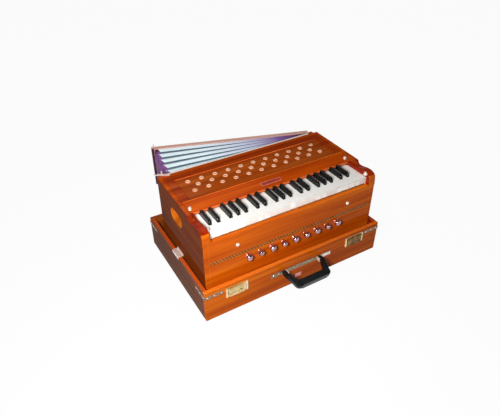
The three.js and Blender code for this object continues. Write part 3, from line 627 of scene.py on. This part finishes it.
# Instrument case
def case_paint(face):
    """Chooses the finish by place: front, side, cheek, top, hand hole, back, inside or key block."""
    middle, normal = face.calc_center_median(), face.normal
    x, y, z = abs(middle.x), middle.y, middle.z
    in_hole = HOLE_FRONT < y < HOLE_BACK and HOLE_LOW < z < HOLE_HIGH
    by_keys = BODY_FRONT + 14 < y < COVER_FRONT and KEY_BOTTOM + 0.5 < z < WHITE_TOP + 0.5
    outside, on_cheek = x > BODY_HALF - 0.5, x > CHEEK_INNER - 1
    if on_cheek and in_hole and (not outside or abs(normal.x) < 0.5):
        return 4
    # Outer side faces take the darker side teak: painted shade
    if outside and abs(normal.x) > 0.7:
        return 1
    if KEY_SLOT_HALF - 0.5 < x < CHEEK_INNER + 0.1 and by_keys:
        return 7
    if y < BODY_FRONT + 17 and (normal.y < -0.75 or normal.z > 0.5 and not on_cheek):
        return 0
    if on_cheek and z > CHEEK_FOOT and y < COVER_FRONT:
        return 2
    if normal.y > 0.7 and y > BODY_BACK - 1:
        return 5
    if normal.z > 0.5 and z > CHEEK_FOOT:
        return 3
    # Everything else, inside the case, takes the darker inner teak: painted shade
    return 6


def build_case():
    """The case itself, then the trim on its front and cheeks and the felt and rail inside it."""
    def on_brow(at):
        return abs(at.x) > CHEEK_INNER - 1 and at.y < SHOULDER - 6 and at.z > CHEEK_FOOT

    def on_front_corner(at):
        return abs(at.x) > BODY_HALF - 0.1 and at.y < BODY_FRONT + 0.1 and at.z < CHEEK_FOOT - 1

    mesh = cad_copy("instrument_case", paint=case_paint)
    round_edges(mesh, 3.6, 5, 40, on_brow, False)
    round_edges(mesh, 2.2, 4, 60, on_front_corner, False)
    round_edges(mesh, 0.9, 3, 40)
    woods = [WOOD_FRONT, WOOD_SIDE_SHADED, WOOD_CHEEK, WOOD_TOP, WOOD_HOLE, WOOD_BACK, WOOD_INNER_SHADE, ACRYLIC]
    piece(mesh, "case", woods, "instrument", "instrument_case")
    strip_half, strip_low, strip_high = 284, 174.8, 185.2
    strip = block((-strip_half, BODY_FRONT - 0.3, strip_low),
                  (strip_half, BODY_FRONT + SUNK, strip_high), 0.12, 1)
    piece(strip, "marquetry", [ROPE], "instrument")
    # Paler strips at the front corners: lighter end grain and a painted highlight of the rounded edge
    bead_x, bead_half, bead_low, bead_high = 285.5, 0.9, 62, 264
    beads = [block((x - bead_half, BODY_FRONT - 0.6, bead_low),
                   (x + bead_half, BODY_FRONT + 0.2, bead_high), 0.5) for x in (-bead_x, bead_x)]
    piece(gathered(beads), "front_highlight_beads", [WOOD_BEAD_HIGHLIGHT], "instrument")
    dome = [(0, 4.8), (2.8, 4.3), (5.1, 2.7), (6.2, 0.5), (6.2, -0.2)]
    pins = [moved(turned(dome, 28), (x, BODY_FRONT, 214), FACE_FRONT) for x in (-196, 196)]
    button = [(0, 7.4), (2.6, 7.0), (4.9, 5.7), (6.6, 3.6), (7.4, 1.2), (7.4, -0.3)]
    pins += [moved(turned(button, 28), (side * CHEEK_INNER, -161, 285), turn)
             for side, turn in ((-1, FACE_RIGHT), (1, FACE_LEFT))]
    piece(gathered(pins), "dome_pins", [NICKEL_SATIN], "instrument")
    felt = block((-271, -161, BED_TOP), (271, -141, BED_TOP + 1.1), 0.4)
    piece(felt, "front_rail_felt", [FELT_RED], "instrument")
    rail = block((-271.5, 92, BED_TOP), (271.5, 104, 262), 1.0)
    piece(rail, "spring_rail", [WOOD_LEVER], "instrument")


# Keys
def tail_centres():
    """Places of the levers across the keyboard, read from the CAD nodes."""
    centres = {}
    for name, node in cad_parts.items():
        if name.startswith("key_"):
            tail = [v.co.x / MM for v in node.data.vertices if v.co.y / MM > KEY_TAIL - 5]
            centres[name] = (min(tail) + max(tail)) / 2
    return centres


def white_paint(face):
    """Acrylic on the head, wood on the lever."""
    middle = face.calc_center_median()
    return int(middle.y > WHITE_CAP_END or middle.z < HEAD_FOOT or face.normal.z < -0.5)


def black_cap(x):
    """The cap of a black key: slanting flanks, round shoulders and a nose rounded in plan and in height."""
    nose, drop, foot, half, slant, corner = 11, 12, 266, 5.5, 1.0, 2.6
    end_share = 0.65
    bend = [pi / 2 * step / 6 for step in range(7)]
    stations = [(BLACK_CAP_END, 0)] + [(BLACK_NOSE + nose * (1 - sin(angle)), angle) for angle in bend]
    rings = []
    for y, angle in stations:
        side = half * (end_share + (1 - end_share) * cos(angle))
        top = BLACK_TOP - drop * (1 - cos(angle))
        shoulder = side - slant * side / half
        soft = min(corner, shoulder * 0.9)
        arc = [(shoulder - soft + soft * cos(turn), top - soft + soft * sin(turn)) for turn in bend]
        right = [(side, foot), *arc]
        rings.append([(x + across, y, up) for across, up in right]
                     + [(x - across, y, up) for across, up in reversed(right)])
    return lofted(rings)


def key_works(x):
    """A key's wire spring, its leather pallet, and the block that joins the pallet to the lever."""
    bends = [(26, 0.6), (40, 2.2), (70, 4.5), (90, 2), (98, -5)]
    spring = wire([(x, y, LEVER_TOP + rise) for y, rise in bends], 0.55)
    pallet = block((x - 4.9, 21, BED_TOP + 0.32), (x + 4.9, 59.4, BED_TOP + 2.6), 0.3)
    riser = block((x - 4.6, 22, BED_TOP + 2.4), (x + 4.6, 58.6, KEY_BOTTOM + 0.4), 0.4)
    return [painted(spring, 2), painted(pallet, 3), painted(riser, 1)]


def build_keys(centres):
    """Every key on its own lever, then the pins on which the levers balance."""
    for name, x in centres.items():
        if name.endswith("sharp"):
            lever = block((x - 5.4, BLACK_NOSE + 5, KEY_BOTTOM), (x + 5.4, KEY_TAIL, LEVER_TOP), 0.5)
            parts, cap, slot = [black_cap(x), painted(lever, 1)], PHENOLIC, "black_key"
        else:
            shape = cad_copy(name, [("y", WHITE_CAP_END), ("z", HEAD_FOOT)], white_paint)
            parts, cap, slot = [round_edges(shape, 0.35, 2, 34)], ACRYLIC, "white_key"
        whole = gathered(parts + key_works(x))
        piece(whole, name + "_piece", [cap, WOOD_LEVER, SPRING, LEATHER], name + "_lever", name)
    pins = [moved(turned([(0, 3.4), (1.0, 3.1), (1.3, 2.4), (1.3, -1)], 12), (x, FULCRUM, LEVER_TOP))
            for x in centres.values()]
    piece(gathered(pins), "balance_pins", [NICKEL], "instrument")


# Top cover
def sound_places():
    """Centres of the sound holes: a row of ten between two rows of eleven."""
    first_row, row_step, pitch = 11.5, 25.5, 45.8
    return [((index - (count - 1) / 2) * pitch, first_row + row * row_step)
            for row, count in enumerate((11, 10, 11)) for index in range(count)]


def cover_paint(face):
    """Knob seat, underside, lip and recess wall, sunk field, frame or front strip."""
    middle = face.calc_center_median()
    x, y, z = abs(middle.x), middle.y, middle.z
    if x > 274 and y < -45 and z > strip_at(y) + 0.5:
        return 2
    # The underside takes the darker inner teak: painted shade
    if face.normal.z < -0.3:
        return 1
    # The front lip and the recess's back wall face the lamp and are painted paler as a highlight
    if face.normal.y < -0.8 and (y < COVER_FRONT + 0.5 or y > FIELD_BACK - 1.5):
        return 4
    if x < FIELD_HALF and FIELD_FRONT < y < FIELD_BACK and z < top_at(y) - 2:
        return 3
    return 5 if y > COVER_FLAT else 0


def build_cover():
    """The lifting cover with its bead painted as a highlight line, eyelets, knobs, felt and bare nameplate.
    """
    mesh = round_edges(cad_copy("top_cover", paint=cover_paint), 0.7, 3, 45)
    woods = [WOOD_TOP, WOOD_INNER_SHADE, NICKEL_SATIN, WOOD_FIELD, WOOD_LIP_HIGHLIGHT, WOOD_BORDER]
    piece(mesh, "cover", woods, "cover", "top_cover")
    # A paler bead along the fold, painted as a highlight line
    fold, bead_half = top_at(COVER_FLAT), 286
    bead = block((-bead_half, COVER_FLAT - 2.6, fold - 0.8),
                 (bead_half, COVER_FLAT + 0.4, fold + 0.7), 0.6, 3)
    piece(bead, "cover_highlight_bead", [WOOD_BEAD_HIGHLIGHT], "cover")
    ring = [(2.9, -1), (3.0, 0.9), (3.8, 2.1), (5.1, 2.7), (6.4, 2.6), (7.5, 1.7), (8.0, 0.5), (8.0, -0.6),
            (2.9, -1)]
    rings = [moved(turned(ring, 28), (x, y, top_at(y) - FIELD_RECESS), (FIELD_SLOPE, 0, 0))
             for x, y in sound_places()]
    piece(gathered(rings), "sound_hole_rings", [BONE], "cover")
    knob_x, knob_y = 278.5, COVER_FRONT + 15
    shape = [(0, 8.0), (2.8, 7.5), (4.9, 5.8), (5.6, 3.8), (5.0, 2.0), (6.2, 0.9), (6.2, -0.4)]
    knobs = [moved(turned(shape, 32), (x, knob_y, strip_at(knob_y)), (STRIP_SLOPE, 0, 0))
             for x in (-knob_x, knob_x)]
    piece(gathered(knobs), "cover_knobs", [NICKEL_SATIN], "cover")
    felt = block((-271, COVER_FRONT + 0.3, LIP_BOTTOM - 2.2), (271, COVER_FRONT + 3, LIP_BOTTOM + 0.2), 0.3)
    piece(felt, "cover_felt", [FELT_RED], "cover")
    plate_x, plate_y = -8, -54.5
    rim = painted(block((-35, -6.6, -0.2), (35, 6.6, 1.0), 0.5), 1)
    face = block((-33.4, -5.0, 0), (33.4, 5.0, 1.3), 0.4)
    plate = moved(gathered([face, rim]), (plate_x, plate_y, strip_at(plate_y)), (STRIP_SLOPE, 0, 0))
    piece(plate, "name_plate", [ENAMEL_RED, ENAMEL_ROSE], "cover")


# Bellows
def on_opened(point, share):
    """A point of the shut bellows, swung out by its share of the opening."""
    angle = -BELLOWS_OPENING * share
    x, y = point[0] - HINGE_X, point[1] - HINGE_Y
    return (HINGE_X + x * cos(angle) - y * sin(angle), HINGE_Y + x * sin(angle) + y * cos(angle), point[2])


CARD_COLUMNS = 36
PANEL_ROWS = 6
FOLD_ROWS = 5 * 2 * PANEL_ROWS


def fold_lift(row):
    """How far a fold line stands out: one on a ridge, nought at the bottom of a valley."""
    phase = (row / PANEL_ROWS) % 2
    return 1 - min(phase, 2 - phase)


def fold_ring(lift):
    """One fold line of the bellows as (along, height) points: hinge, top, free end, bottom and back."""
    start, end, reach, margin, corner, end_steps = 1, 536, 548, 4, 6.0, 8
    card_end, far = end - 12 * (1 - lift), reach - 10 * (1 - lift)
    depth = 7 * (1 - lift)
    top, base = BELLOWS_TOP - margin - depth, BELLOWS_BOTTOM + margin + depth
    along = [start + (card_end - start) * step / CARD_COLUMNS for step in range(CARD_COLUMNS + 1)]
    bend = [pi / 2 * step / 5 for step in range(6)]
    fall = top - base - 2 * corner
    return ([(x, top) for x in along]
            + [(far - corner + corner * sin(angle), top - corner + corner * cos(angle)) for angle in bend]
            + [(far, top - corner - fall * step / end_steps) for step in range(1, end_steps)]
            + [(far - corner + corner * cos(angle), base + corner - corner * sin(angle)) for angle in bend]
            + [(x, base) for x in reversed(along)])


def fold_finish(row, column, columns):
    """Pale card near the case, card painted darker towards the hinge, painted shade in the valleys, purple
    gusset or the painted shade along its edge.
    """
    if row >= FOLD_ROWS:
        return 4
    if column < CARD_COLUMNS or columns - 1 - CARD_COLUMNS <= column < columns - 1:
        # The bottom of each valley is painted teal as shade
        if (fold_lift(row) + fold_lift(row + 1)) / 2 < 0.3:
            return 2
        return 0 if PANEL_ROWS <= row < 2 * PANEL_ROWS else 1
    # The gusset's rows next to the case and the board are dark maroon, painted shade
    return 4 if row < 2 or row > FOLD_ROWS - 4 else 3


def build_bellows():
    """Five pleats: card near each ridge, teal painted shade in each valley, a cloth gusset round the free
    end.
    """
    rings, shares = [], []
    for row in range(FOLD_ROWS + 1):
        share = row / FOLD_ROWS
        y = BODY_BACK + 0.3 + (HINGE_Y - BODY_BACK - 0.8) * share
        outline = fold_ring(fold_lift(row))
        rings.append([on_opened((HINGE_X - along, y, height), share) for along, height in outline])
        shares.append(share)
    mesh = lofted(rings)
    columns = len(rings[0])
    for index, face in enumerate(mesh.faces):
        face.material_index = fold_finish(*divmod(index, columns), columns)
    cloths = [CARD_NEAR, CARD_SHADED_TO_HINGE, TEAL_VALLEY_SHADE, CLOTH_PURPLE, MAROON_EDGE_SHADE]
    bellows = finished(mesh, "bellows", cloths, 30)
    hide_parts("bellows_folds")
    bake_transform(bellows)


def board_paint(face):
    """Pin, outer face, dark maroon painted as shade round the free end, or bare edge."""
    middle = face.calc_center_median()
    if middle.z > BELLOWS_TOP + 0.3:
        return 1
    if face.normal.y > 0.7:
        return 3
    return 2 if middle.x < BOARD_WRAP and (face.normal.x < -0.7 or face.normal.y < -0.7) else 0


def build_bellows_board():
    """The board that closes the bellows, its two hinges and the cream tape along the case."""
    board = round_edges(cad_copy("bellows_board", [("x", BOARD_WRAP)], board_paint), 0.8, 3, 40)
    finishes = [WOOD_BOARD, NICKEL_SATIN, MAROON_EDGE_SHADE, WOOD_BOARD_BACK]
    piece(board, "back_board", finishes, "bellows", "bellows_board")
    leaf_face, leaf_back, leaf_half, leaf_reach = BODY_BACK + 24.8, BODY_BACK + 25.6, 16, 12.6
    leaves = [block((HINGE_X + 0.2, leaf_face, z - leaf_half),
                    (HINGE_X + leaf_reach, leaf_back, z + leaf_half), 0.3) for z in HINGE_HEIGHTS]
    piece(gathered(leaves), "hinge_leaves", [BRASS], "instrument")
    knuckle = [(0, 17), (1.6, 17), (2.0, 16.6), (2.0, -16.6), (1.6, -17), (0, -17)]
    pins = [moved(turned(knuckle, 16), (HINGE_X + 0.6, HINGE_Y + 1.8, z)) for z in HINGE_HEIGHTS]
    piece(gathered(pins), "hinge_knuckles", [BRASS], "instrument")
    tape = block((-258, BODY_BACK - 0.2, 297.6), (HINGE_X - 16, BODY_BACK + 9, 303.6), 0.8)
    piece(tape, "bellows_tape", [TAPE_CREAM], "instrument")


def build_catch():
    """The swivelling catch that holds the bellows board."""
    catch = round_edges(cad_copy("bellows_catch"), 0.5, 2, 45)
    piece(catch, "catch", [NICKEL_SATIN], "catch", "bellows_catch")


# Draw stops
def build_stops():
    """Nine draw stops, a large and a small ball by turns, each on its rosette and rod."""
    for index in range(9):
        name = f"stop_{index + 1}"
        radius, foot = (10.5, 9.6) if index % 2 == 0 else (9.0, 9.0)
        rosette = turned([(0, -60), (2.9, -60), (2.9, 0.2), (foot - 0.6, 0.2), (foot, 1.0), (foot - 0.3, 2.6),
                          (foot - 1.4, 3.6), (6.0, 4.2), (0, 4.4)], 40)
        ball = turned([(0, 3.6), (7.2, 3.8), (7.6, 5.6), (radius * 0.84, 7.4), (radius * 0.97, 10.0),
                       (radius, 12.4), (radius * 0.95, 14.8), (radius * 0.8, 17.0), (radius * 0.5, 18.5),
                       (radius * 0.2, 18.95), (0, 19)], 40)
        place = (STOP_SHIFT + (index - 4) * STOP_PITCH, BODY_FRONT - 0.3, STOP_HEIGHT)
        whole = moved(gathered([painted(rosette, 1), ball]), place, FACE_FRONT)
        # The knob's pink tint and the pink rosette are painted reflection of the orange front
        piece(whole, name + "_knob", [NICKEL_KNOB_PINK_REFLECTION, ROSETTE_PINK_REFLECTION], name + "_rod", name)


# Carrying handle
def build_handle():
    """The moulded grip with its soft edges; the pivot pins stay crisp."""
    def on_grip(at):
        return abs(at.x - HANDLE_CENTRE.x) < 75 and (at - HANDLE_CENTRE).length > 12

    mesh = round_edges(cad_copy("carrying_handle"), 3.2, 4, 35, on_grip)
    piece(mesh, "handle", [HANDLE_BLACK], "handle", "carrying_handle", 50)


# Case latches
def build_latches():
    """The moving half of each latch: a flap with its barrel, a curled edge and a raised panel."""
    y, z = LATCH_PIN_Y, LATCH_PIN_Z
    half, drop, sheet, curl_half = 29, 25.6, 1.25, 24
    # The right flap's darker brass is painted shade
    for x, name, body, finish in ((-LATCH_X, "latch_left", "latch_l", BRASS),
                                  (LATCH_X, "latch_right", "latch_r", BRASS_SHADED)):
        plate = block((x - half, y - sheet, z - drop), (x + half, y + sheet, z), 0.6)
        barrel = turned([(0, half), (2.2, half), (2.8, half - 0.6), (2.8, 0.6 - half), (2.2, -half),
                         (0, -half)], 24)
        curl = turned([(0, curl_half), (1.9, curl_half), (2.3, curl_half - 0.4), (2.3, 0.4 - curl_half),
                       (1.9, -curl_half), (0, -curl_half)], 20)
        panel = block((x - 22, y - 1.7, z - 20), (x + 22, y - 1.0, z - 6), 0.4)
        barrel = moved(barrel, (x, y, z), FACE_RIGHT)
        curl = moved(curl, (x, y - 1.2, z - 24), FACE_RIGHT)
        piece(gathered([plate, barrel, curl, panel]), name + "_flap", [finish], body, name)


# Studio
def area_light(name, place, aim, size, power):
    """A square lamp of the given side in metres, turned towards its aim."""
    data = bpy.data.lights.new(name, "AREA")
    data.energy = power
    data.size = size
    lamp = bpy.data.objects.new(name, data)
    lamp.location = place
    lamp.rotation_euler = (Vector(aim) - Vector(place)).to_track_quat("-Z", "Y").to_euler()
    scene.collection.objects.link(lamp)


def seen_rays(tree):
    """One for rays that show the backdrop: from the camera, off metal or through glass."""
    path = add(tree, "ShaderNodeLightPath")
    shown = add(tree, "ShaderNodeMath", {
        0: path.outputs["Is Camera Ray"], 1: path.outputs["Is Glossy Ray"],
    }, operation="MAXIMUM")
    return add(tree, "ShaderNodeMath", {
        0: shown.outputs[0], 1: path.outputs["Is Transmission Ray"],
    }, operation="MAXIMUM").outputs[0]


def build_floor():
    """Paper that keeps the object's shadow and lights it little, and looks white to the camera."""
    mesh = bmesh.new()
    bmesh.ops.create_grid(mesh, x_segments=1, y_segments=1, size=6)
    data = bpy.data.meshes.new("floor")
    mesh.to_mesh(data)
    mesh.free()
    floor = bpy.data.objects.new("floor", data)
    scene.collection.objects.link(floor)
    material = bpy.data.materials.new("floor_paper")
    material.use_nodes = True
    tree = material.node_tree
    tree.nodes.clear()
    seen = seen_rays(tree)
    pale = add(tree, "ShaderNodeBsdfDiffuse", {"Color": (0.85, 0.85, 0.85, 1)})
    dim = add(tree, "ShaderNodeBsdfDiffuse", {"Color": (0.2, 0.2, 0.2, 1)})
    paper = add(tree, "ShaderNodeMixShader", {0: seen, 1: dim.outputs[0], 2: pale.outputs[0]})
    glow = add(tree, "ShaderNodeEmission", {"Color": (1, 1, 1, 1), "Strength": 1.0})
    share = add(tree, "ShaderNodeMath", {0: seen, 1: 0.95}, operation="MULTIPLY")
    mix = add(tree, "ShaderNodeMixShader", {0: share.outputs[0], 1: paper.outputs[0], 2: glow.outputs[0]})
    out = add(tree, "ShaderNodeOutputMaterial")
    tree.links.new(mix.outputs[0], out.inputs["Surface"])
    data.materials.append(material)


def build_world():
    """White all round for the camera, and a ceiling that metal shows dim."""
    world = bpy.data.worlds.new("studio")
    scene.world = world
    world.use_nodes = True
    tree = world.node_tree
    tree.nodes.clear()
    rise = add(tree, "ShaderNodeSeparateXYZ", {0: add(tree, "ShaderNodeTexCoord").outputs["Generated"]})
    room = add(tree, "ShaderNodeMapRange", {
        "Value": rise.outputs["Z"], "From Min": 0.1, "From Max": 0.5, "To Min": 1.0, "To Max": 0.08,
    })
    soft = add(tree, "ShaderNodeBackground", {"Color": (1, 0.98, 0.95, 1), "Strength": 0.12})
    path = add(tree, "ShaderNodeLightPath")
    straight = add(tree, "ShaderNodeMath", {
        0: path.outputs["Is Camera Ray"], 1: path.outputs["Is Transmission Ray"],
    }, operation="MAXIMUM")
    level = add(tree, "ShaderNodeMath", {
        0: room.outputs["Result"], 1: straight.outputs[0],
    }, operation="MAXIMUM")
    white = add(tree, "ShaderNodeBackground", {"Color": (1, 1, 1, 1), "Strength": level.outputs[0]})
    mix = add(tree, "ShaderNodeMixShader", {0: seen_rays(tree), 1: soft.outputs[0], 2: white.outputs[0]})
    out = add(tree, "ShaderNodeOutputWorld")
    tree.links.new(mix.outputs[0], out.inputs["Surface"])


def build_lamps():
    """A lamp beside the camera and a broad soft one overhead."""
    area_light("camera_light", place=(-0.68, -0.74, 0.8), aim=(-0.05, -0.05, 0.2), size=0.22, power=13.2)
    area_light("top_light", place=(-0.1, 0.7, 2.1), aim=(0.1, 0, 0.25), size=2.0, power=12)


def build_camera():
    """A 33 mm lens at the photograph's viewpoint, aimed a little left of the case's middle."""
    right = Vector((0.86039, -0.50960, -0.00602))
    up = Vector((0.29842, 0.49421, 0.81652))
    back = Vector((-0.41312, -0.70432, 0.57729))
    data = bpy.data.cameras.new("camera")
    data.sensor_fit = "HORIZONTAL"
    focal_px, width_px = 460.22, 500
    data.sensor_width = 36
    data.lens = data.sensor_width * focal_px / width_px
    data.clip_end = 50
    camera = bpy.data.objects.new("camera", data)
    turn = Matrix((right, up, back)).transposed()
    camera.matrix_world = Matrix.Translation(Vector((-662.95, -1045.24, 1030.53)) * MM) @ turn.to_4x4()
    scene.collection.objects.link(camera)
    scene.camera = camera


build_tray()
build_straps()
build_side_catches()
build_handle_plate()
build_latch_plates()
build_small_plate()
build_case()
build_keys(tail_centres())
build_cover()
build_bellows()
build_bellows_board()
build_catch()
build_stops()
build_handle()
build_latches()
build_floor()
build_world()
build_lamps()
build_camera()

scene.view_settings.view_transform = "Standard"
